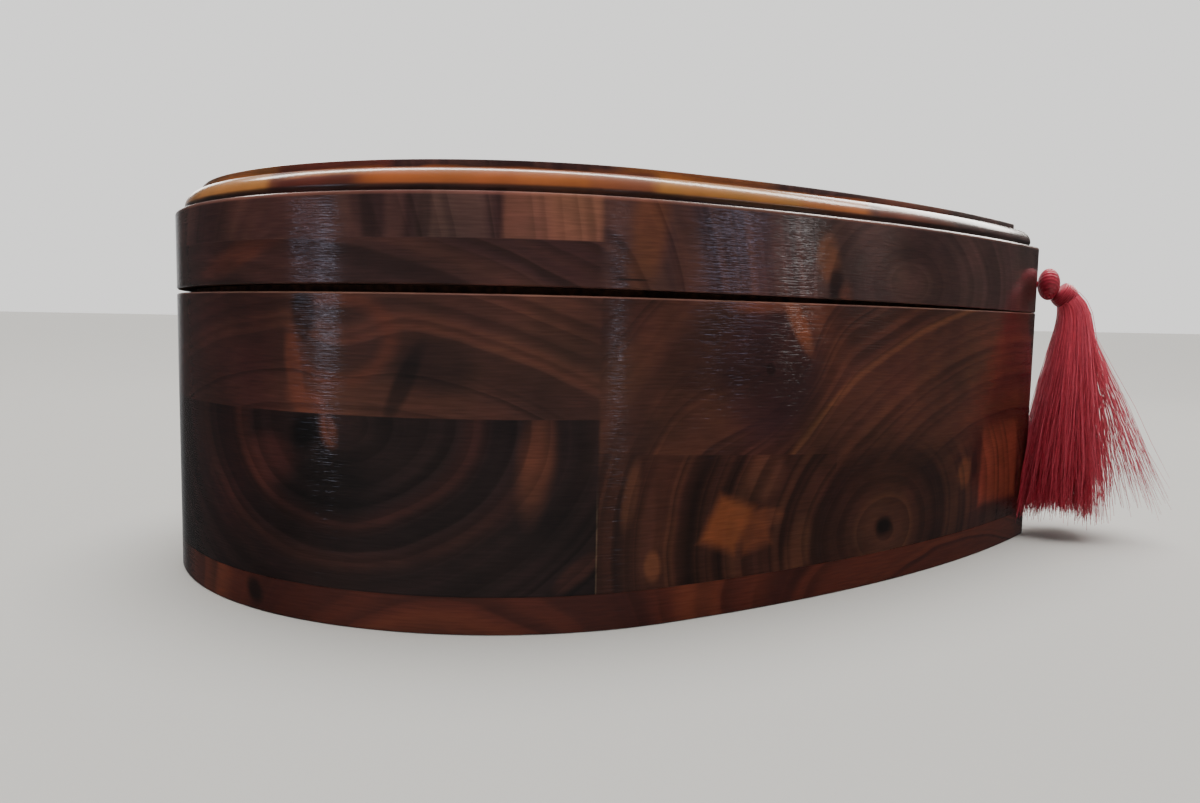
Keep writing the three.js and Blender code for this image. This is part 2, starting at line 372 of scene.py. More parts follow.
@dataclass(frozen=True)
class Place:
    """A place in the wood's figure, seen from the front: x to the right and z up, in millimetres."""

    x: float
    z: float
    half_x: float
    half_z: float
    turn: float = 0.0
    form: Form = OVAL
    soft: float = 0.35
    glue_line: float = 0.15
    depth: float = 1e7

    def distance(self, grain: Grain) -> Socket:
        """Distance from the middle, 1 on the outline: a length for an oval, the larger part for a block.

        Joints and arrises are straight, and other places wander with the grain.

        Args:
            grain: Nodes and place.

        Returns:
            The distance's socket.
        """
        tree = grain.tree
        where = {
            "Vector": grain.straight if self.form in (BLOCK, BAND) else grain.warped,
            "Location": (self.x * MM, 0, self.z * MM),
            "Rotation": (0, -math.radians(self.turn), 0),
            "Scale": (self.half_x * MM, self.depth * MM, self.half_z * MM),
        }
        local = add(tree, "Mapping TEXTURE", where)
        if self.form in (OVAL, RING):
            return add(tree, "VectorMath LENGTH", {0: local}, "Value")
        size = add(tree, "VectorMath ABSOLUTE", {0: local})
        across, _, up = add(tree, "SeparateXYZ", {0: size}).node.outputs
        return add(tree, "Math MAXIMUM", {0: across, 1: up})

    def mask(self, grain: Grain, strength: float = 1.0) -> Socket:
        """Strength inside the place, or on the ring's line, and 0 outside it, with its own soft edge.

        Args:
            grain: Nodes and place.
            strength: Value inside.

        Returns:
            The mask's socket.
        """
        away = self.distance(grain)
        soft = self.glue_line / min(self.half_x, self.half_z) if self.form is BLOCK else self.soft
        near, far = 1 - soft, 1 + soft
        if self.form is RING:
            off = add(grain.tree, "Math SUBTRACT", {0: away, 1: 1.0})
            away = add(grain.tree, "Math ABSOLUTE", {0: off})
            near, far = 0.0, soft
        return add(grain.tree, "MapRange SMOOTHSTEP", {0: away, 1: far, 2: near, 3: 0.0, 4: strength})


def glued(x: float, z: float, half_x: float, half_z: float, turn: float = 0.0) -> Place:
    """A block's place, with crisp edges."""
    return Place(x, z, half_x, half_z, turn, BLOCK)


@dataclass(frozen=True)
class Mark:
    """A patch or an arc of another colour in the figure."""

    colour: str
    strength: float
    place: Place

    def over(self, grain: Grain, below: Socket) -> Socket:
        """Lays the mark's colour over the one below."""
        share = self.place.mask(grain, self.strength)
        return add(grain.tree, "Mix RGBA", {0: share, 6: below, 7: linear(self.colour)}, 2)


def mark_rows(*rows: tuple) -> tuple[Mark, ...]:
    """Marks from rows of colour, strength and the place's own values in their order."""
    return tuple(Mark(colour, strength, Place(*place)) for colour, strength, *place in rows)


@dataclass(frozen=True)
class Knot:
    """A swelling of the rings round a knot; depth is in rings, and the core has its own colour."""

    place: Place
    depth: float
    core: float = 0.0
    colour: str = "#150b09"
    strength: float = 0.92

    def heart(self) -> Mark:
        """The dark core."""
        spot, share = self.place, self.core
        inner = Place(spot.x, spot.z, spot.half_x * share, spot.half_z * share, spot.turn, soft=0.5)
        return Mark(self.colour, self.strength, inner)


@dataclass(frozen=True)
class Block:
    """One glued block: its places, the pith that its rings run round, its colours, knots and marks.

    The gap between rings is in millimetres, and the count runs ahead by up to pace rings. Along a ring the
    dark line comes and goes about every 20 mm.
    """

    places: tuple[Place, ...]
    pith: Pair
    stretch: Pair
    shades: Shades
    knots: tuple[Knot, ...] = ()
    marks: tuple[Mark, ...] = ()
    gap: float = 3.0
    lines: float = 0.7
    pace: float = 2.4
    line_start: float = 0.2
    line_peak: float = 0.85
    line_colour: str = "#140a08"
    fades_per_metre: float = 55.0

    def inside(self, grain: Grain) -> Socket:
        """1 in any of the block's places: the largest of their masks.

        Args:
            grain: Nodes and place.

        Returns:
            The mask's socket.
        """
        whole, *others = (place.mask(grain) for place in self.places)
        for other in others:
            whole = add(grain.tree, "Math MAXIMUM", {0: whole, 1: other})
        return whole

    def rings(self, grain: Grain) -> Socket:
        """Ring count: distance from the pith over the ring gap, raised round knots, of uneven pace.

        Args:
            grain: Nodes and place.

        Returns:
            The count's socket.
        """
        tree = grain.tree
        count = Place(*self.pith, self.gap * self.stretch[0], self.gap * self.stretch[1]).distance(grain)
        for knot in self.knots:
            away = knot.place.distance(grain)
            swell = add(tree, "MapRange SMOOTHSTEP", {0: away, 3: knot.depth, 4: 0.0})
            count = add(tree, "Math ADD", {0: count, 1: swell})
        pace = add(tree, "TexNoise 1D", {"W": count, "Scale": 0.4, "Detail": 1.0})
        return add(tree, "Math MULTIPLY_ADD", {0: pace, 1: self.pace, 2: count})

    def latewood(self, grain: Grain, rings: Socket) -> Socket:
        """Dark line that ends each ring: it darkens slowly outwards and stops at once, each ring its own way.

        Args:
            grain: Nodes and place.
            rings: Ring count.

        Returns:
            The line's strength.
        """
        tree = grain.tree
        within = add(tree, "Math FRACT", {0: rings})
        rise = add(tree, "MapRange SMOOTHSTEP", {0: within, 1: self.line_start, 2: self.line_peak})
        fall = add(tree, "MapRange SMOOTHSTEP", {0: within, 1: 1.0, 2: self.line_peak})
        line = add(tree, "Math MINIMUM", {0: rise, 1: fall})
        own = add(tree, "TexWhiteNoise 1D", {"W": add(tree, "Math FLOOR", {0: rings})}, "Value")
        own = add(tree, "MapRange", {0: own, 3: 0.25})
        fading = add(tree, "TexNoise", {"Vector": grain.warped, "Scale": self.fades_per_metre, "Detail": 1.0})
        fading = add(tree, "MapRange", {0: fading, 1: 0.3, 2: 0.6, 3: 0.3, 4: self.lines})
        weight = add(tree, "Math MULTIPLY", {0: own, 1: fading})
        return add(tree, "Math MULTIPLY", {0: line, 1: weight})

    def colour(self, grain: Grain, seed: float) -> Socket:
        """Colour: bands a few rings wide, marks, latewood lines, then the knots' cores.

        Args:
            grain: Nodes and place.
            seed: Start in the band noise, so that no two blocks have the same bands.

        Returns:
            The colour's socket.
        """
        tree = grain.tree
        dark, mid, light = (linear(shade) for shade in self.shades)
        rings = self.rings(grain)
        start = add(tree, "Math ADD", {0: rings, 1: seed})
        bands = add(tree, "TexNoise 1D", {"W": start, "Scale": 0.37, "Detail": 3.0, "Roughness": 0.6})
        low = add(tree, "MapRange", {0: bands, 1: 0.25, 2: 0.5})
        high = add(tree, "MapRange", {0: bands, 1: 0.5, 2: 0.75})
        colour = add(tree, "Mix RGBA", {0: low, 6: dark, 7: mid}, 2)
        colour = add(tree, "Mix RGBA", {0: high, 6: colour, 7: light}, 2)
        for mark in self.marks:
            colour = mark.over(grain, colour)
        line = self.latewood(grain, rings)
        colour = add(tree, "Mix RGBA", {0: line, 6: colour, 7: linear(self.line_colour)}, 2)
        for knot in self.knots:
            if knot.core:
                colour = knot.heart().over(grain, colour)
        return colour


def wander(tree: Tree, straight: Socket, reach: float, scale: Triple) -> Socket:
    """Place in the wood, moved by slow noise of up to about reach each way.

    Args:
        tree: The material's nodes.
        straight: Place in the wood, in metres.
        reach: Distance in metres.
        scale: Repeats in a metre along x, y and z.

    Returns:
        The moved place's socket.
    """
    drawn = add(tree, "Mapping", {"Vector": straight, "Scale": scale})
    soft = {"Vector": drawn, "Scale": 1.0, "Detail": 3.0, "Roughness": 0.45}
    noise = add(tree, "TexNoise", soft, "Color")
    centred = add(tree, "VectorMath SUBTRACT", {0: noise, 1: (0.5, 0.5, 0.5)})
    return add(tree, "VectorMath MULTIPLY_ADD", {0: centred, 1: (2 * reach, 0, 2 * reach), 2: straight})


@dataclass(frozen=True)
class Finish:
    """A finish of the real thing; each kind draws its own nodes."""

    name: str

    def draw(self, tree: Tree) -> Socket:
        """Adds the finish's nodes and gives back its shader."""
        raise NotImplementedError

    def build(self) -> Material:
        """Makes the material.

        Returns:
            The finished material.
        """
        material = bpy.data.materials.new(self.name)
        material.use_nodes = True
        tree = material.node_tree
        tree.nodes.clear()
        add(tree, "OutputMaterial", {"Surface": self.draw(tree)})
        return material


@dataclass(frozen=True)
class LacquerCoat:
    """Clear brushed lacquer, rubbed flat along the sides: fine level lines break up each reflection.

    Lengths are in millimetres. Noise repeats about once in a unit, so its scale is 1000 / size.
    """

    line_gap: float = 0.4
    line_length: float = 6.0
    line_depth: float = 0.09
    painted_line_sheen: float = 0.3
    wave_size: float = 9.0
    wave_depth: float = 0.03
    roughness: float = 0.07
    ior: float = 1.5

    def cover(self, tree: Tree, colour: Socket) -> Socket:
        """Puts the wood's colour under the coat, lighter and darker along the rubbing lines: painted sheen
        where the lines catch the light.

        Args:
            tree: The material's nodes.
            colour: The wood's colour.

        Returns:
            The shader's socket.
        """
        spot = add(tree, "TexCoord", out="Object")
        along, gap = 1000 / self.line_length, 1000 / self.line_gap
        drawn = add(tree, "Mapping", {"Vector": spot, "Scale": (along, along, gap)})
        lines = add(tree, "TexNoise", {"Vector": drawn, "Scale": 1.0, "Detail": 2.0})
        # Painted sheen: the colour is made lighter and darker along the rubbing lines.
        half = self.painted_line_sheen / 2
        shade = add(tree, "MapRange", {0: lines, 1: 0.3, 2: 0.7, 3: 1 - half, 4: 1 + half})
        toned = add(tree, "VectorMath MULTIPLY", {0: colour, 1: shade})
        slow = add(tree, "TexNoise", {"Vector": spot, "Scale": 1000 / self.wave_size, "Detail": 1.0})
        waves = add(tree, "Bump", {"Height": slow, "Distance": self.wave_depth * MM})
        normal = add(tree, "Bump", {"Height": lines, "Distance": self.line_depth * MM, "Normal": waves})
        wood = {"Base Color": toned, "Roughness": 0.5, "Specular IOR Level": 0.2, "Coat Weight": 1.0}
        coat = {"Coat Roughness": self.roughness, "Coat IOR": self.ior, "Coat Normal": normal}
        return add(tree, "BsdfPrincipled", {**wood, **coat})


# Material numbers of the faces that aren't lacquered and rubbed.
BARE, ROUTED = 1, 2
RUBBED_COAT = LacquerCoat()
# On the routed edge the lacquer flowed and wasn't rubbed: no lines, a slight orange peel, softer glints.
FLOWED_COAT = LacquerCoat(line_depth=0.0, painted_line_sheen=0.0, wave_size=1.5, wave_depth=0.028, roughness=0.17)


@dataclass(frozen=True)
class BlockWood(Finish):
    """Red heartwood glued up from blocks, end grain outwards.

    The eye sees dark ring lines on red-brown, orange sapwood patches, knots, and hairline glue joints,
    all under a clear glossy coat. The blocks run from front to back, so the top shows long grain.
    """

    blocks: tuple[Block, ...]
    marks: tuple[Mark, ...]
    coat: LacquerCoat = RUBBED_COAT
    far_shift: float = 9.0
    wander_reach: float = 2.2
    wander_scale: Triple = (30, 11, 30)
    seed_step: float = 37.7
    cloud_size: float = 20.0

    def spot(self, tree: Tree) -> Socket:
        """Place in the wood.

        The far half (y above 0) is other lengths of the same blocks, turned end for end: x becomes
        far_shift - x there, which leaves a joint along the middle.

        Args:
            tree: The material's nodes.

        Returns:
            The place's socket.
        """
        x, y, z = add(tree, "SeparateXYZ", {0: add(tree, "TexCoord", out="Object")}).node.outputs
        far = add(tree, "Math GREATER_THAN", {0: y, 1: 0.0})
        back = add(tree, "Math MULTIPLY_ADD", {0: x, 1: -2.0, 2: self.far_shift * MM})
        turned = add(tree, "Math MULTIPLY_ADD", {0: far, 1: back, 2: x})
        return add(tree, "CombineXYZ", {0: turned, 1: y, 2: z})

    def draw(self, tree: Tree) -> Socket:
        """The blocks in turn, marks across them and clouds of tone and hue, all under the coat.

        Args:
            tree: The material's nodes.

        Returns:
            The shader's socket.
        """
        straight = self.spot(tree)
        grain = Grain(tree, straight, wander(tree, straight, self.wander_reach * MM, self.wander_scale))
        colour = self.blocks[0].colour(grain, 0.0)
        for number, block in enumerate(self.blocks[1:], start=1):
            own = block.colour(grain, self.seed_step * number)
            colour = add(tree, "Mix RGBA", {0: block.inside(grain), 6: colour, 7: own}, 2)
        for mark in self.marks:
            colour = mark.over(grain, colour)
        slow = {"Vector": grain.warped, "Scale": 1000 / self.cloud_size, "Detail": 3.0}
        clouds = add(tree, "TexNoise", slow)
        level = add(tree, "MapRange", {0: clouds, 1: 0.3, 2: 0.7, 3: 0.75, 4: 1.2})
        colour = add(tree, "VectorMath MULTIPLY", {0: colour, 1: level})
        hue = {0: clouds.node.outputs["Color"], 1: (0.3, 0.35, 0.3), 2: (0.85, 0.82, 0.85)}
        drift = add(tree, "VectorMath MULTIPLY_ADD", hue)
        return self.coat.cover(tree, add(tree, "VectorMath MULTIPLY", {0: colour, 1: drift}))


@dataclass(frozen=True)
class BoardWood(Finish):
    """Plain red-brown board, long grain along the heart, with one dark knot, under the same lacquer.

    Its growth layers stand nearly upright along the heart, so they show as long waves on the broad side
    and as upright bands where the outline cuts across them.
    """

    name: str = "lacquered_board_wood"
    shades: Shades = ("#451d17", "#61291b", "#753620")
    knot: Mark = Mark("#1c0d0a", 0.9, Place(-81, 4.6, 2.2, 3.0, 25, soft=0.5))
    pith: Pair = (-40, -60)
    gap: float = 3.6
    lines: float = 0.7
    seed: float = 11.0

    def draw(self, tree: Tree) -> Socket:
        """The block wood's rings, with y for x, on coordinates drawn out along x.

        Args:
            tree: The material's nodes.

        Returns:
            The shader's socket.
        """
        spot = add(tree, "TexCoord", out="Object")
        x, y, z = add(tree, "SeparateXYZ", {0: wander(tree, spot, 5 * MM, (9, 20, 30))}).node.outputs
        lean = add(tree, "SeparateXYZ", {0: wander(tree, spot, 9 * MM, (7, 7, 7))}, "Z")
        turned = add(tree, "CombineXYZ", {0: add(tree, "Math ADD", {0: lean, 1: y}), 1: x, 2: z})
        grown = Block((), self.pith, (1.0, 1.0), self.shades, gap=self.gap, lines=self.lines)
        colour = grown.colour(Grain(tree, turned, turned), self.seed)
        return RUBBED_COAT.cover(tree, self.knot.over(Grain(tree, spot, spot), colour))


@dataclass(frozen=True)
class BareWood(Finish):
    """Sanded wood without lacquer, inside the box and on the rim: matt, dusty brown, fine long grain."""

    name: str = "bare_sanded_wood"
    light: str = "#4f3020"
    dark: str = "#301b13"
    fibre_width: float = 2.0
    fibre_length: float = 40.0
    fibre_depth: float = 0.05

    def draw(self, tree: Tree) -> Socket:
        """Noise drawn out along Y, a fibre's width across and its length long.

        Args:
            tree: The material's nodes.

        Returns:
            The shader's socket.
        """
        across = 1000 / self.fibre_width
        scale = (across, 1000 / self.fibre_length, across)
        drawn = add(tree, "Mapping", {"Vector": add(tree, "TexCoord", out="Object"), "Scale": scale})
        grain = add(tree, "TexNoise", {"Vector": drawn, "Scale": 1.0, "Detail": 3.0})
        share = add(tree, "MapRange", {0: grain, 1: 0.35, 2: 0.65})
        colour = add(tree, "Mix RGBA", {0: share, 6: linear(self.dark), 7: linear(self.light)}, 2)
        bump = add(tree, "Bump", {"Height": grain, "Distance": self.fibre_depth * MM})
        look = {"Base Color": colour, "Roughness": 0.75, "Specular IOR Level": 0.25, "Normal": bump}
        return add(tree, "BsdfPrincipled", look)


@dataclass(frozen=True)
class SilkThread(Finish):
    """Dyed silk floss: crimson with a pink sheen along the light and each thread a little different."""

    name: str = "crimson_silk_floss"
    deep: str = "#a81c30"
    bright: str = "#f2667a"
    sheen: str = "#ff9aa8"
    mottles_per_metre: float = 900.0

    def draw(self, tree: Tree) -> Socket:
        """Deep to bright by the stored tone, from 0 to 1, which holds painted shade as well as the thread's
        own shade, and a fine mottle.

        Args:
            tree: The material's nodes.

        Returns:
            The shader's socket.
        """
        tone = add(tree, "Attribute", out="Fac", attribute_name=TONE)
        spot = add(tree, "TexCoord", out="Object")
        mottle = add(tree, "TexNoise", {"Vector": spot, "Scale": self.mottles_per_metre, "Detail": 1.0})
        mottle = add(tree, "Math MULTIPLY_ADD", {0: mottle, 1: 0.5, 2: -0.25})
        share = add(tree, "Math ADD", {0: tone, 1: mottle}, use_clamp=True)
        colour = add(tree, "Mix RGBA", {0: share, 6: linear(self.deep), 7: linear(self.bright)}, 2)
        sheen = {"Sheen Weight": 0.6, "Sheen Roughness": 0.35, "Sheen Tint": linear(self.sheen)}
        return add(tree, "BsdfPrincipled", {"Base Color": colour, "Roughness": 0.42, **sheen})


@dataclass(frozen=True)
class StudioBoard(Finish):
    """Matt pale board, plain."""

    name: str = "pale_studio_board"
    colour: str = "#cfccc6"
    teeth_per_metre: float = 350.0

    def draw(self, tree: Tree) -> Socket:
        """One plain colour with a fine tooth.

        Args:
            tree: The material's nodes.

        Returns:
            The shader's socket.
        """
        spot = add(tree, "TexCoord", out="Object")
        tooth = add(tree, "TexNoise", {"Vector": spot, "Scale": self.teeth_per_metre, "Detail": 3.0})
        bump = add(tree, "Bump", {"Height": tooth, "Distance": 0.2 * MM, "Strength": 0.4})
        look = {"Base Color": linear(self.colour), "Roughness": 0.9, "Normal": bump}
        return add(tree, "BsdfPrincipled", look)


# A mark's row: colour, strength, then x, z, half x and half z in millimetres, turn, form and softness.
WALL_BLOCKS = (
    Block(
        (glued(75, 73.2, 76.9, 38, -3.6),), (120, -20), (1.0, 1.0), ("#40241d", "#512c21", "#663826"),
        knots=(Knot(Place(35.5, 56.5, 24, 30), 3.0),), gap=3.4, lines=0.6,
        marks=mark_rows(
            ("#8e5530", 0.6, 120, -20, 96.3, 96.3, 0, RING, 0.018),
            ("#74422a", 0.5, 102, 60, 10, 12),
            ("#74422a", 0.5, 14, 49, 5, 4),
            ("#633528", 0.5, 75, 55, 30, 16, 0, PATCH, 0.4),
        ),
    ),
    Block(
        (glued(22.6, -2, 29.2, 39.6, -3.6), Place(69, 8, 47, 27, soft=0.3),
         Place(112, 18, 26, 20, soft=0.25)),
        (69.3, 14.5), (1.0, 1.1), ("#321b16", "#4a271c", "#5d3422"),
        knots=(Knot(Place(69, 15.5, 9, 10), 0.8, 0.26, "#120a09"),), lines=0.55,
        marks=mark_rows(
            ("#190f0d", 0.8, 69.3, 14.5, 51, 56, 0, RING, 0.07),
            ("#1c110f", 0.6, 69.3, 14.5, 44.5, 50, 0, RING, 0.045),
            ("#5a3224", 0.6, 69, 16, 8, 8, 0, OVAL, 0.4),
            ("#70402b", 0.6, 5.5, 30, 1.7, 8, -8),
            ("#5f3427", 0.5, 9, 20, 1.8, 11, -6),
            ("#80472d", 0.7, 10.5, 13, 1.8, 3.4),
            ("#6d3f2b", 0.6, 36, 32, 4, 6, -15),
            ("#70402a", 0.5, 45, 13, 3.4, 8, -12),
            ("#763f27", 0.7, 36.8, 21.8, 4, 2.4),
            ("#84482a", 0.7, 97, 25, 2.8, 4.2),
            ("#241514", 0.7, 101, 27, 1.4, 4.4),
            ("#442420", 0.6, 112, 10, 14, 5),
            ("#934732", 0.85, 112.5, 27.5, 8.5, 13, 0, PATCH, 0.12),
        ),
    ),
    Block(
        (glued(-76.7, 65, 75, 18.5),), (-60, -10), (1.35, 1.0), ("#43261f", "#553127", "#66392b"),
        knots=(Knot(Place(-57, 63, 17, 15), 1.1),), gap=3.6, lines=0.5,
        marks=mark_rows(
            ("#441f20", 0.6, -98, 60, 24, 20, 0, PATCH, 0.4),
            ("#2e1b19", 0.6, -36, 57, 8, 6),
            ("#773b29", 0.45, -57, 62.5, 11.5, 8.5, 0, RING, 0.3),
            ("#80402c", 0.55, -68.7, 56, 2.2, 8, 12),
            ("#7a3e2c", 0.55, -65.5, 49.5, 5.5, 3.0, -20),
            ("#1a1110", 0.7, -66, 68, 3.2, 5),
            ("#1f1413", 0.65, -42.3, 53.5, 2.0, 8.5, -23),
        ),
    ),
    Block(
        (glued(-76.7, 21.5, 75, 25),), (-56, 45), (1.3, 1.0), ("#231514", "#2d1b19", "#392120"),
        knots=(Knot(Place(-66, 43, 9.5, 10.5, -30), 1.2, 0.36, "#0d0706"),), gap=3.2, lines=0.55,
        marks=mark_rows(
            ("#3e1c1c", 0.6, -96, 32, 12, 16, 0, PATCH, 0.5),
            ("#572823", 0.6, -76, 36, 7.5, 5.5),
            ("#56291f", 0.5, -56, 45, 29, 22.5, 0, RING, 0.15),
            ("#4c271f", 0.5, -56, 45, 42.5, 31, 0, RING, 0.11),
            ("#1a1110", 0.6, -60, 30, 14, 7, 0, OVAL, 0.5),
            ("#7c432c", 0.65, -14.6, 38, 3.2, 11.5, -6, OVAL, 0.5),
            ("#7e4230", 0.6, -59.8, 43.5, 2.0, 3.8, 15, OVAL, 0.5),
            ("#582d23", 0.6, -6, 13, 6, 2.2, 40),
            ("#a08060", 0.5, -1.9, 15.5, 0.12, 8.5, 0, BLOCK),
        ),
    ),
)
# Over the wall's blocks lie a sapwood patch and a plain dark oval, and a pale band on the arris is painted
# highlight.
WALL_MARKS = mark_rows(
    ("#854424", 0.65, 33.6, 18.8, 3.6, 4.4, 14, PATCH, 0.35),
    ("#964d26", 0.72, 27.2, 21.2, 4.4, 5.6, -24, PATCH, 0.3),
    ("#4b2d25", 0.6, 11, 56, 13, 17, 0, PATCH, 0.45),
    ("#412324", 0.85, 35.5, 56, 12.5, 16, 0, OVAL, 0.3),
    ("#7e422b", 0.6, 33, 71.8, 7, 1.8, 0, OVAL, 0.5),
    ("#8a4a2d", 0.65, 42.6, 67, 2.0, 6.5, 27, OVAL, 0.45),
    ("#1d0e0d", 0.6, 35.5, 56.5, 1.1, 1.4),
    # Painted highlight: a pale pinkish band along the wall's top arris.
    ("#a87868", 0.6, 0, 72.7, 400, 0.35, 0, BAND, 0.4),
)
LID_BLOCKS = (
    Block(
        (glued(22.2, 88, 23.8, 30),), (-4, -60), (0.6, 3.0), ("#402827", "#533532", "#664138"),
        lines=0.3,
        marks=mark_rows(
            ("#80492e", 0.65, 7.5, 88, 3.6, 13, -8, OVAL, 0.5),
            ("#623a2d", 0.5, 16, 82, 3, 9, 0, OVAL, 0.5),
            ("#140c0a", 0.8, 4.4, 76.4, 3.2, 0.18, 0, BAND, 0.5),
        ),
    ),
    Block(
        (glued(-76.7, 75, 75, 9),), (-95, 30), (2.4, 1.2), ("#3a2221", "#4b2c29", "#5e382e"),
        gap=3.6, lines=0.6,
        marks=mark_rows(
            ("#733a2b", 0.55, -85, 81, 13, 2.6, 18, OVAL, 0.5),
            ("#342020", 0.5, -50, 78, 12, 5),
        ),
    ),
    Block(
        (glued(-76.7, 94, 75, 9.9),), (-70, -40), (1.0, 4.0), ("#3a2121", "#4e2f2c", "#613c35"),
        lines=0.35,
        marks=mark_rows(
            ("#6e5149", 0.55, -32, 89, 7, 9, 0, PATCH, 0.4),
            ("#8c5a48", 0.72, -12, 90, 10.3, 7.4, 0, PATCH, 0.1),
            ("#a46a50", 0.35, -7.5, 90, 5.5, 8, 0, PATCH, 0.3),
            ("#2c1918", 0.5, -50, 90, 1.6, 12, 4, OVAL, 0.5),
            ("#6e473e", 0.5, -44, 90, 2.2, 12, -3, OVAL, 0.5),
            ("#66423b", 0.45, -56, 90, 2.0, 12, 3, OVAL, 0.5),
            ("#2f1b19", 0.5, -38, 88, 1.4, 10, -5, OVAL, 0.5),
        ),
    ),
    Block(
        (glued(90, 88, 44, 30),), (73, 79), (1.3, 1.0), ("#442b28", "#523632", "#60403a"),
        lines=0.25,
        marks=mark_rows(
            ("#8c5033", 0.65, 49, 84, 2.8, 5.5, 10, OVAL, 0.5),
            ("#2a1614", 0.8, 51.5, 78, 2.0, 3.8, 0, OVAL, 0.5),
            ("#723e2b", 0.6, 54.5, 75, 1.8, 3.4, 0, OVAL, 0.5),
        ),
    ),
)
# Along the lid's edge lie the ends of paler and darker strips, a dark band of painted shade in the quirk
# and a pinkish band of painted highlight on the arris and the step above it.
LID_MARKS = mark_rows(
    ("#ce8746", 0.9, -99, 97.4, 23, 2.6, 0, PATCH, 0.15),
    ("#9a6238", 0.7, -97, 101.4, 24, 2.0, 0, PATCH, 0.2),
    ("#6c342a", 0.8, -62, 99, 15, 5.2, 0, PATCH, 0.12),
    ("#a8602f", 0.75, -61, 98.6, 11, 1.1, 0, PATCH, 0.35),
    ("#b36432", 0.88, -26, 97.0, 27, 2.3, 0, PATCH, 0.15),
    ("#96563a", 0.75, 2, 97.4, 7, 2.4, 0, PATCH, 0.2),
    ("#c27f3c", 0.88, 26, 97.4, 17, 2.6, 0, PATCH, 0.12),
    ("#96582f", 0.7, 18, 101.4, 17, 2.0, 0, PATCH, 0.2),
    ("#c07038", 0.8, 51, 97.4, 9.5, 2.4, 0, PATCH, 0.2),
    ("#8a4832", 0.6, 75, 98, 13, 3.4, 0, PATCH, 0.3),
    # Painted shade: a dark band in the quirk under the bead.
    ("#37201b", 0.8, 0, 94.6, 400, 0.8, 0, BAND, 0.45),
    # Painted highlight: a pinkish band along the lid's arris and the step above it.
    ("#985f50", 0.4, 0, 93.3, 400, 0.4, 0, BAND, 0.4),
)


@dataclass
class BoxBody:
    """Base board and the wall above it, which ends in a lip that the lid drops over."""

    outline: HeartOutline
    board_thickness: float = 8.3 * MM
    wall_top: float = 72.7 * MM
    wall_thickness: float = 9 * MM
    lip_height: float = 5 * MM
    lip_inset: float = 5 * MM
    arris: float = 0.35 * MM
    joint: float = 0.08 * MM

    def board(self) -> Object:
        """Board: level rings with eased arrises, closed by flat caps."""
        ease, top = self.arris, self.board_thickness
        side = self.outline.rings(held([(ease, 0.0), (ease / 3, ease / 3), (0, ease), (0, top)]))
        return skin("base_board_dressed", np.concatenate([shrink(side[0])[::-1], side, shrink(side[-1])]))

    def wall(self) -> Object:
        """Wall: the closed section of the side, its top, the lip and the inside, carried round the heart.

        Returns:
            The wall's object, lacquered outside and bare from the outer arris inwards.
        """
        ease, joint, top, lip = self.arris, self.joint, self.wall_top, self.wall_top + self.lip_height
        inner, low = self.wall_thickness, self.board_thickness
        bend = (ease / 3, top - ease / 3)
        side = held([(joint, low), (0, low + joint), (0, top - ease), bend, (ease, top)])
        step = [(self.lip_inset, top), (self.lip_inset, lip - ease), (self.lip_inset + ease, lip)]
        section = [*side, *step, (inner - ease, lip), (inner, lip - ease), (inner, low)]
        bare = (len(side) - 1, len(section), BARE)
        return skin("box_wall_dressed", self.outline.rings(section), loop=True, finishes=(bare,))

    def build(self) -> None:
        """Makes and dresses both pieces."""
        dress(self.board(), [BoardWood().build()], "base_wood", "base_board")
        wood = BlockWood("lacquered_block_wood_wall", WALL_BLOCKS, WALL_MARKS)
        dress(self.wall(), [wood.build(), BareWood().build()], "wall_wood", "box_wall")


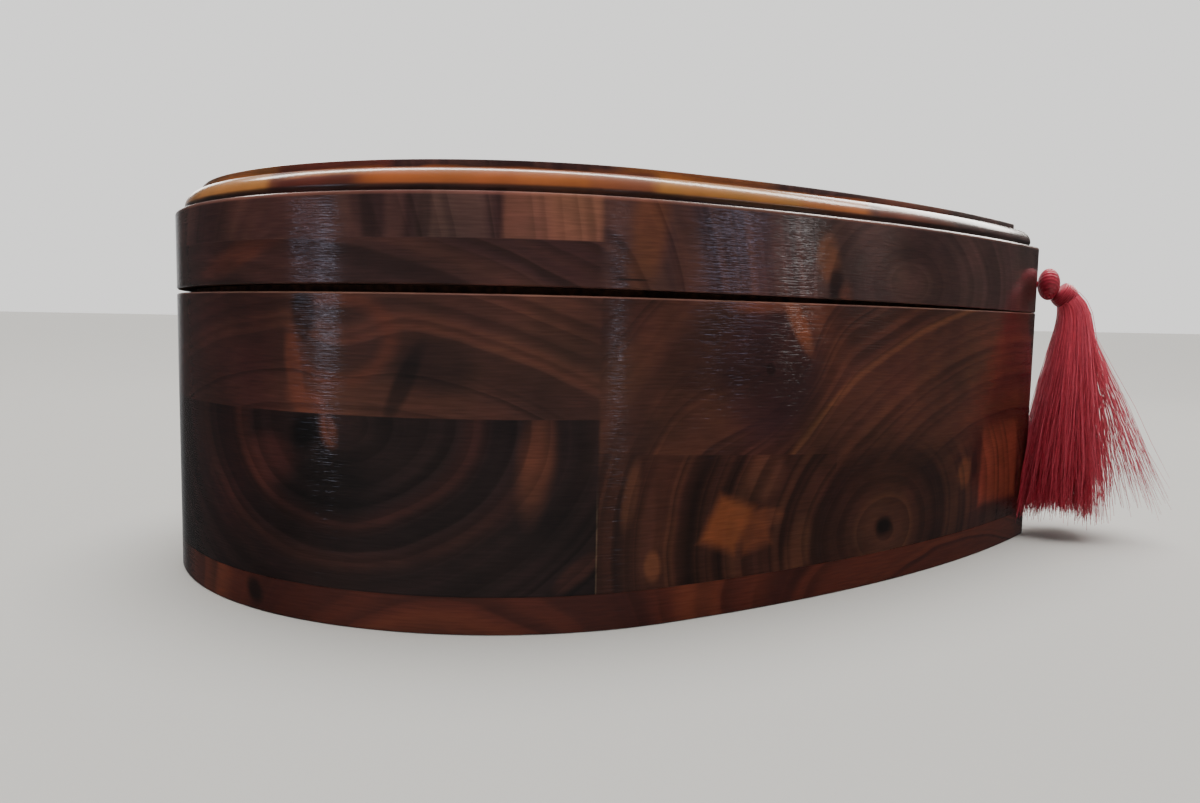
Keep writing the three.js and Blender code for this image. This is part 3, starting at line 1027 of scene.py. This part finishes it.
@dataclass
class Lid:
    """Hollowed lid with a routed edge: a step, a quirk, a quarter-round bead, a riser and a flat top."""

    outline: HeartOutline
    underside: float = 73.0 * MM
    seam_drop: float = 0.26 * MM
    seam_rise: float = 1.7 * MM
    side_height: float = 20 * MM
    wall_thickness: float = 9 * MM
    rebate_inset: float = 4.7 * MM
    rebate_top: float = 78 * MM
    ceiling: float = 91.1 * MM
    step_height: float = 0.8 * MM
    step_depth: float = 2.3 * MM
    step_curve: tuple[Pair, ...] = ((0.15, 0.5), (0.5, 0.87), (1, 1))
    bead_lift: float = 2.1 * MM
    bead_radius: float = 4.2 * MM
    bead_steps: int = 14
    riser: float = 1.8 * MM
    top_round: float = 0.4 * MM
    seam_ease: float = 0.3 * MM
    nose_least: float = 0.5 * MM

    def edge_profile(self) -> list[Pair]:
        """Routed edge upwards from the side: the bead's inset is r - r cos(a) and its height r sin(a)."""
        arris = self.underside + self.side_height
        centre = arris + self.bead_lift
        inset, radius, rise = self.step_depth + self.bead_radius, self.bead_radius, self.step_height
        turn = np.linspace(0, math.pi / 2, self.bead_steps)
        bead = [(inset - radius * math.cos(a), centre + radius * math.sin(a)) for a in turn]
        soft, top = self.top_round, centre + radius + self.riser
        return [
            (0.0, arris - self.seam_ease),
            (0.0, arris),
            *[(rise * across, arris + rise * up) for across, up in self.step_curve],
            (self.step_depth + soft, arris + rise),
            (self.step_depth + soft * 0.4, centre - soft),
            *bead,
            (inset + soft / 2, centre + radius),
            (inset + soft / 2, top - soft),
            (inset + soft * 0.8, top - soft * 0.3),
            (inset + soft * 1.5, top),
        ]

    def shell(self) -> Object:
        """Lid: rings from the hollow's ceiling down to the seam, out and up over the routed edge.

        The seam's height is underside - drop + rise |y| / half width, so it opens towards the lobes.

        Returns:
            The lid's object, bare inside and underneath, rubbed on its side and flowed on its edge.
        """
        ease, wall, rebate = self.seam_ease, self.wall_thickness, self.rebate_inset
        hollow = [(wall, self.ceiling), (wall, self.rebate_top), (rebate, self.rebate_top)]
        inner = self.outline.rings(hollow)
        seam = self.outline.rings([(rebate, 0.0), (ease, 0.0), (0.0, ease), (0.0, 2 * ease)])
        share = np.abs(seam[..., 1]) / (self.outline.width / 2)
        seam[..., 2] += self.underside - self.seam_drop + self.seam_rise * share
        edge = self.outline.rings(self.edge_profile(), self.nose_least)
        cap = shrink(inner[0])[::-1]
        rings = np.concatenate([cap, inner, seam, edge, shrink(edge[-1])])
        under = len(cap) + len(inner)
        side = under + len(seam)
        finishes = ((0, under + 1, BARE), (side, side + len(edge) - 1, ROUTED))
        return skin("lid_dressed", rings, finishes=finishes)

    def build(self) -> None:
        """Makes and dresses the lid."""
        rubbed = BlockWood("lacquered_block_wood_lid", LID_BLOCKS, LID_MARKS)
        routed = BlockWood("lacquered_block_wood_routed", LID_BLOCKS, LID_MARKS, FLOWED_COAT)
        dress(self.shell(), [rubbed.build(), BareWood().build(), routed.build()], "lid_wood", "lid")


@dataclass
class Tassel:
    """Silk tassel: a wound ball tight on the tip, a wound binding and a skirt of hanging floss."""

    outline: HeartOutline
    height: float = 82 * MM
    knot_start: float = 127.8 * MM
    knot_size: Triple = (6.4 * MM, 8.8 * MM, 10.2 * MM)
    knot_grid: tuple[int, int] = (49, 72)
    knot_turns: int = 13
    knot_groove: float = 0.07
    winding: Triple = (0.25, 0.5, 0.83)
    tilt: float = math.radians(36)
    binding_length: float = 4.6 * MM
    binding_radius: float = 3.6 * MM
    binding_bulge: float = 0.5 * MM
    binding_groove: float = 0.25 * MM
    binding_turns: int = 7
    binding_points: int = 40
    gap: float = 0.3 * MM
    skirt_length: float = 67 * MM
    skirt_reach: float = 12.6 * MM
    crown_reach: float = 5 * MM
    bend_share: float = 0.16
    head_radius: float = 3.3 * MM
    hem_radius: float = 17.4 * MM
    hem_depth: float = 14 * MM
    flare: float = 0.85
    threads: int = 2900
    hollow: float = 0.12
    thinning: float = 0.95
    thinning_edge: Pair = (0.15, 0.5)
    locks: int = 13
    lock_pull: float = 0.25
    sway: Pair = (0.3, 1.5)
    waves: Pair = (0.7, 1.8)
    uneven_cut: Pair = (1.6 * MM, 1.5 * MM)
    wisps: int = 380
    wisp_reach: Pair = (8, 22)
    wisp_lean: float = 0.9
    wisp_wave: float = 0.8 * MM
    wisp_radius: float = 0.6
    thread_radius: float = 0.1 * MM
    thread_end: float = 0.4
    thread_sides: int = 3
    # Strength of the painted shade along each thread, paler at the top and darker at the hem.
    fading: float = 0.75
    seed: int = 11

    @property
    def shares(self) -> Array:
        """Places of a thread's points along it, closer together in the bend."""
        return np.array([0, 0.035, 0.07, 0.11, 0.16, 0.28, 0.44, 0.62, 0.81, 1.0])

    @property
    def axis(self) -> Array:
        """Direction in which the binding points, down and outwards."""
        return np.array([math.cos(self.tilt), 0.0, -math.sin(self.tilt)])

    @property
    def knot_centre(self) -> Array:
        """Middle of the wound ball."""
        return np.array([self.knot_start + self.knot_size[0] / 2, 0.0, self.height])

    @property
    def binding_centre(self) -> Array:
        """Middle of the binding: beyond the ball's surface along the axis."""
        reach = 0.5 / np.linalg.norm(self.axis / np.array(self.knot_size))
        return self.knot_centre + self.axis * (reach + self.gap + self.binding_length / 2)

    def knot(self) -> Object:
        """Wound ball: an oval whose radius swells by |sin| of the angle round a tilted winding axis."""
        across, around = self.knot_grid
        polar = np.linspace(0, math.pi, across + 2)[1:-1][:, None]
        angle = np.linspace(0, 2 * math.pi, around, endpoint=False)[None, :]
        up = -np.cos(polar) * np.ones_like(angle)
        unit = np.stack([np.sin(polar) * np.cos(angle), np.sin(polar) * np.sin(angle), up], axis=-1)
        winding = np.array(self.winding)
        lie = np.arccos(np.clip(unit @ (winding / np.linalg.norm(winding)), -1, 1))
        swell = 1 - self.knot_groove * (1 - np.abs(np.sin(self.knot_turns * lie + 0.6 * angle)))
        points = self.knot_centre + unit * swell[..., None] * np.array(self.knot_size) / 2
        return skin("tassel_knot_wound", points, sharp=80)

    def binding(self) -> Object:
        """Binding: a short drum of stacked turns, radius r - d (1 - |sin(pi k u)|) along its length u."""
        along = np.linspace(0, 1, 6 * self.binding_turns + 1)
        barrel = self.binding_radius + self.binding_bulge * np.sin(math.pi * along)
        turns = np.abs(np.sin(math.pi * self.binding_turns * along))
        radius = barrel - self.binding_groove * (1 - turns)
        turn = np.linspace(0, 2 * math.pi, self.binding_points, endpoint=False)
        side, across = np.array([-self.axis[2], 0.0, self.axis[0]]), np.array([0.0, 1.0, 0.0])
        spokes = np.cos(turn)[:, None] * across + np.sin(turn)[:, None] * side
        middle = self.binding_centre + np.outer((along - 0.5) * self.binding_length, self.axis)
        points = middle[:, None, :] + radius[:, None, None] * spokes[None]
        return skin("tassel_binding_wound", points, sharp=80)

    def centre_line(self, share: Array) -> tuple[Array, Array]:
        """Middle of the skirt: a quadratic bend from the binding over into a plumb line.

        Args:
            share: Places along the skirt, 0 at the binding and 1 at the hem.

        Returns:
            Points and unit tangents of shape (n, 3).
        """
        head = self.binding_centre
        bottom = head[2] + self.axis[2] * (self.binding_length / 2 + self.gap) - self.skirt_length
        hem = np.array([self.outline.tip + self.skirt_reach, 0.0, bottom])
        crown = head + self.axis * self.crown_reach
        bend = np.clip(share / self.bend_share, 0, 1)[:, None]
        end = np.array([hem[0], 0.0, head[2] + self.bend_share * (bottom - head[2])])
        curve = (1 - bend) ** 2 * head + 2 * bend * (1 - bend) * crown + bend**2 * end
        drop = np.clip((share - self.bend_share) / (1 - self.bend_share), 0, 1)[:, None]
        early = share[:, None] <= self.bend_share
        points = np.where(early, curve, end + drop * (hem - end))
        slope = np.where(early, 2 * (1 - bend) * (crown - head) + 2 * bend * (end - crown), hem - end)
        return points, slope / np.linalg.norm(slope, axis=1, keepdims=True)

    def strands(self) -> tuple[Array, Array]:
        """Middle lines of all threads and their tones.

        A thread keeps its place (rho, phi) in the skirt's oval section, which widens as share^flare; its
        phi drifts towards the nearest lock, and waves of a millimetre grow towards the hem, where the
        threads end unevenly. Away from the box fewer are kept, so the eye sees through them there.

        Returns:
            Points of shape (kept, points, 3) and tones of shape (kept,).
        """
        random = np.random.default_rng(self.seed)
        share = self.shares
        steps, count = len(share), self.threads
        middle, tangent = self.centre_line(share)
        side = np.stack([-tangent[:, 2], np.zeros(steps), tangent[:, 0]], axis=1)
        rho = np.sqrt(random.uniform(self.hollow, 1.0, count))[:, None]
        phi = random.uniform(0, 2 * math.pi, count)[:, None]
        near, far = self.thinning_edge
        outward = np.clip((rho * np.cos(phi) - near) / (far - near), 0, 1)[:, 0]
        kept = random.uniform(0, 1, count) > self.thinning * outward
        rho, phi, outward, count = rho[kept], phi[kept], outward[kept], int(kept.sum())
        locks = 2 * math.pi / self.locks
        phi_along = phi + (np.round(phi / locks) * locks - phi) * self.lock_pull * share[None] ** 1.5
        spread = share[None] ** self.flare
        width = self.head_radius + (self.hem_radius - self.head_radius) * spread
        depth = self.head_radius + (self.hem_depth - self.head_radius) * spread
        wave = random.uniform(0, 2 * math.pi, (count, 2, 1))
        pace = random.uniform(*self.waves, (count, 2, 1))
        sway = np.sin(wave + pace * 2 * math.pi * share) * share
        sway = sway * random.uniform(*self.sway, (count, 2, 1)) * MM
        across = width * rho * np.cos(phi_along) + sway[:, 0]
        points = middle[None] + across[..., None] * side[None]
        points[..., 1] += depth * rho * np.sin(phi_along) + sway[:, 1]
        by_chance, by_place = self.uneven_cut
        cut = random.normal(0, by_chance, (count, 1)) + by_place * np.cos(3 * phi)
        points[..., 2] += cut * share[None]
        # Tone: random, plus painted light and shade: paler for threads further out and on the side away from
        # the box, darker deeper in the skirt.
        tone = 0.5 + 0.25 * random.normal(size=count) + 0.2 * (rho[:, 0] - 0.7) + 0.25 * outward
        return points, np.clip(tone, 0, 1)

    def loose(self) -> tuple[Array, Array]:
        """Fly-away threads that bow out from the skirt on the side away from the box.

        Returns:
            Points of shape (wisps, points, 3) and tones of shape (wisps,).
        """
        random = np.random.default_rng(self.seed + 1)
        share, count = self.shares, self.wisps
        middle, _ = self.centre_line(share)
        least, most = self.wisp_reach
        reach = (least + most * random.uniform(0, 1, (count, 1)) ** 2.0) * MM
        lean = random.uniform(-self.wisp_lean, self.wisp_lean, (count, 1))
        drop = random.uniform(0.8, 1.0, (count, 1))
        points = np.repeat(middle[None], count, axis=0)
        points[..., 0] += reach * np.cos(lean) * share[None] ** 1.05
        points[..., 1] += reach * np.sin(lean) * share[None]
        points[..., 2] = middle[0, 2] + (middle[None, :, 2] - middle[0, 2]) * drop
        points[..., 0] += self.wisp_wave * np.sin(3 * math.pi * share[None] + 6 * lean) * share[None]
        return points, random.uniform(0.3, 1.0, count)

    def around_corner(self, points: Array) -> Array:
        """Moves points that would lie inside the box sideways to its surface.

        Args:
            points: Points of shape (..., 3).

        Returns:
            All points, moved where they have to be.
        """
        clear = self.thread_radius + self.gap
        bound = self.outline.half_width(points[..., 0] - clear) + clear
        inside = (points[..., 0] < self.outline.tip + clear) & (np.abs(points[..., 1]) < bound)
        moved = points.copy()
        moved[..., 1] = np.where(inside, np.where(points[..., 1] < 0, -bound, bound), points[..., 1])
        return moved

    def tubes(self, name: str, lines: Array, tone: Array, radius: float) -> Object:
        """Thin tubes along many lines: line + r (cos(a) u + sin(a) v), with r smaller at the end.

        Args:
            name: The piece's name.
            lines: Points of shape (threads, points, 3).
            tone: One tone for each thread; painted shade makes it paler above and deeper below.
            radius: The tubes' radius.

        Returns:
            The object, with its tones.
        """
        (count, steps), sides = lines.shape[:2], self.thread_sides
        run = np.gradient(lines, axis=1)
        run /= np.linalg.norm(run, axis=-1, keepdims=True)
        first = np.cross(run, [0.0, 1.0, 0.0])
        first /= np.linalg.norm(first, axis=-1, keepdims=True)
        second = np.cross(run, first)
        angle = (np.arange(sides) * 2 * math.pi / sides)[:, None]
        taper = np.interp(np.arange(steps), [0, steps - 2, steps - 1], [1.0, 1.0, self.thread_end])
        ring = np.cos(angle) * first[:, :, None] + np.sin(angle) * second[:, :, None]
        points = lines[:, :, None] + radius * taper[None, :, None, None] * ring
        shift = (np.arange(count) * steps * sides)[:, None, None]
        quads = (skin_faces(steps, sides)[None] + shift).reshape(-1, 4)[:, ::-1]
        start = np.arange(sides)
        caps = (np.stack([start, steps * sides - 1 - start])[None] + shift).reshape(-1, sides)
        piece = new_mesh(name, points, quads.tolist() + caps.tolist(), sharp=70)
        # Painted shade: each thread pales towards the top and deepens towards the hem.
        along = tone[:, None] + self.fading * (0.5 - self.shares[None])
        set_tone(piece, np.repeat(np.clip(along, 0, 1), sides))
        return piece

    def build(self) -> None:
        """Makes and dresses the tassel's pieces; the wound ones carry painted shade, darker below."""
        silk = SilkThread().build()
        wrap = SilkThread("crimson_silk_wrapping", "#861526", "#d8485c").build()
        for piece in (self.knot(), self.binding()):
            # Painted shade: the wound ball and binding are darker towards their undersides.
            level = np.empty(3 * len(piece.data.vertices), dtype=np.float32)
            piece.data.vertices.foreach_get("co", level)
            height = level[2::3] - level[2::3].min()
            set_tone(piece, 0.9 * (height / height.max()) ** 1.3)
            dress(piece, [wrap], "silk_cord", piece.name.rsplit("_", 1)[0])
        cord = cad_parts["tassel_cord"]
        cord.data.materials.clear()
        cord.data.materials.append(wrap)
        lines, tone = self.strands()
        skirt = self.tubes("tassel_skirt_threads", self.around_corner(lines), tone, self.thread_radius)
        dress(skirt, [silk], "silk_thread", "tassel_skirt")
        lines, tone = self.loose()
        wisps = self.tubes("tassel_loose_threads", lines, tone, self.thread_radius * self.wisp_radius)
        dress(wisps, [silk], "silk_thread")


@dataclass(frozen=True)
class Panel:
    """A soft light that shows only in gloss: where its mirror image sits on the box, and which way.

    Azimuth is measured from -Y towards +X and elevation above the horizon, both as seen from the image.
    """

    name: str
    image: Triple
    azimuth: float
    elevation: float
    distance: float
    width: float
    height: float
    radiance: float
    colour: str = "#ffffff"

    def build(self) -> None:
        """Places the light on its ray, facing back along it."""
        data = bpy.data.lights.new(self.name, "AREA")
        data.shape = "RECTANGLE"
        data.size = self.width
        data.size_y = self.height
        data.energy = self.radiance * math.pi * self.width * self.height
        data.color = linear(self.colour)[:3]
        turn, lift = math.radians(self.azimuth), math.radians(self.elevation)
        out = Vector((math.sin(turn) * math.cos(lift), -math.cos(turn) * math.cos(lift), math.sin(lift)))
        light = put(self.name, data)
        light.location = Vector(self.image) * MM + out * self.distance
        light.rotation_euler = (-out).to_track_quat("-Z", "Y").to_euler()
        light.visible_camera = False
        light.visible_diffuse = False


@dataclass
class Studio:
    """Pale floor, soft lights and the camera at the photograph's place."""

    background: str = "#e9e8e6"
    background_strength: float = 1.6
    overhead: float = 4.4
    overhead_spread: float = math.radians(50)
    front_glow: float = 0.1
    side_glow: float = 0.05
    back_glow: float = 1.15
    floor_glow: float = 0.35
    right_fall: float = 1.2
    front_edge: Pair = (-0.3, -0.9)
    back_edge: Pair = (0.6, 0.95)
    horizon: Pair = (-0.1, 0.04)
    floor_reach: float = 30.0
    panels: tuple[Panel, ...] = (
        Panel("window_behind", (0, -100, 98), 180, 62, 1.5, 3.4, 0.3, 17.0, "#fffaf2"),
        Panel("window_right", (100, -28, 98), 146, 30, 0.8, 0.5, 0.3, 9.0, "#fffaf2"),
        Panel("window_left", (-112, -78, 98), -150, 17, 0.8, 0.3, 0.18, 4.0, "#fffaf2"),
        Panel("strip_left", (-60, -121, 60), -49, 0.8, 0.4, 0.055, 0.03, 3.9, "#dfe4ff"),
        Panel("strip_left_high", (-63.5, -120, 84), -54, 4.5, 0.4, 0.12, 0.03, 2.0, "#d4dcff"),
        Panel("strip_middle", (1.9, -115, 61), 44.5, 0.0, 0.4, 0.03, 0.04, 2.4, "#dfe4ff"),
        Panel("strip_right_high", (26, -100, 86), 71.5, 8.2, 0.4, 0.07, 0.04, 2.8, "#d2d6ff"),
        Panel("strip_edge_high", (43, -88, 84), 81, 7.5, 0.4, 0.035, 0.05, 3.6),
        Panel("strip_edge_far", (60, -75, 84), 93, 5.5, 0.4, 0.06, 0.06, 0.35),
    )
    camera_place: Triple = (0.018227, -0.306674, 0.067571)
    camera_right: Triple = (0.99417066, 0.10618016, 0.01872092)
    camera_up: Triple = (-0.0280307, 0.0868764, 0.99582467)
    lens: float = 27.0
    sensor: float = 36.0
    clip_start: float = 0.01

    def floor(self) -> None:
        """A square of floor far wider than the view, which doesn't show in the gloss."""
        corners = np.array([[-1, -1, 0], [1, -1, 0], [1, 1, 0], [-1, 1, 0]]) * self.floor_reach
        floor = new_mesh("studio_floor", corners, [[0, 1, 2, 3]])
        floor.data.materials.append(StudioBoard().build())
        floor.visible_glossy = False

    def surroundings(self) -> None:
        """Pale background for the eye; in gloss the room is bright behind and dark elsewhere.

        The edges are parts of the ray's direction: y less right_fall times any x to the right for the bright
        back, y for the faint front, and z for the horizon, below which the back is dimmer.
        """
        world = bpy.data.worlds.new("studio")
        world.use_nodes = True
        tree = world.node_tree
        tree.nodes.clear()
        look = {"Color": linear(self.background), "Strength": self.background_strength}
        seen = add(tree, "Background", look)
        x, y, z = add(tree, "SeparateXYZ", {0: add(tree, "TexCoord", out="Generated")}).node.outputs
        right = add(tree, "Math MAXIMUM", {0: x, 1: 0.0})
        behind = add(tree, "Math MULTIPLY_ADD", {0: right, 1: -self.right_fall, 2: y})
        levels = (*self.horizon, self.floor_glow * self.back_glow, self.back_glow)
        above = add(tree, "MapRange", {0: z, **dict(enumerate(levels, start=1))})
        levels = (*self.back_edge, self.side_glow, above)
        back = add(tree, "MapRange SMOOTHSTEP", {0: behind, **dict(enumerate(levels, start=1))})
        levels = (*self.front_edge, 0.0, self.front_glow)
        facing = add(tree, "MapRange SMOOTHSTEP", {0: y, **dict(enumerate(levels, start=1))})
        both = add(tree, "Math ADD", {0: back, 1: facing})
        room = add(tree, "Background", {"Color": (1.0, 1.0, 1.0, 1.0), "Strength": both})
        ray = add(tree, "LightPath", out="Is Camera Ray")
        add(tree, "OutputWorld", {"Surface": add(tree, "MixShader", {0: ray, 1: room, 2: seen})})
        bpy.context.scene.world = world

    def overhead_light(self) -> None:
        """A wide soft light straight above, as even on the far floor as on the box."""
        data = bpy.data.lights.new("soft_overhead", "SUN")
        data.energy = self.overhead
        data.angle = self.overhead_spread
        put("soft_overhead", data).visible_glossy = False

    def camera(self) -> None:
        """The camera, from its place and its right and up directions."""
        data = bpy.data.cameras.new("camera")
        data.lens = self.lens
        data.sensor_width = self.sensor
        data.clip_start = self.clip_start
        right, up = Vector(self.camera_right), Vector(self.camera_up)
        turn = Matrix((right, up, right.cross(up))).transposed()
        camera = put("camera", data)
        camera.matrix_world = Matrix.Translation(self.camera_place) @ turn.to_4x4()
        bpy.context.scene.camera = camera

    def build(self) -> None:
        """Sets up the whole studio."""
        self.camera()
        self.surroundings()
        self.floor()
        self.overhead_light()
        for panel in self.panels:
            panel.build()
        log.info("studio: %d panels", len(self.panels))


def main() -> None:
    """Builds the studio and each sub-assembly."""
    logging.basicConfig(level=logging.INFO, format="%(name)s %(message)s")
    outline = HeartOutline()
    for part in (Studio(), BoxBody(outline), Lid(outline), Tassel(outline)):
        part.build()


if __name__ == "__main__":
    main()
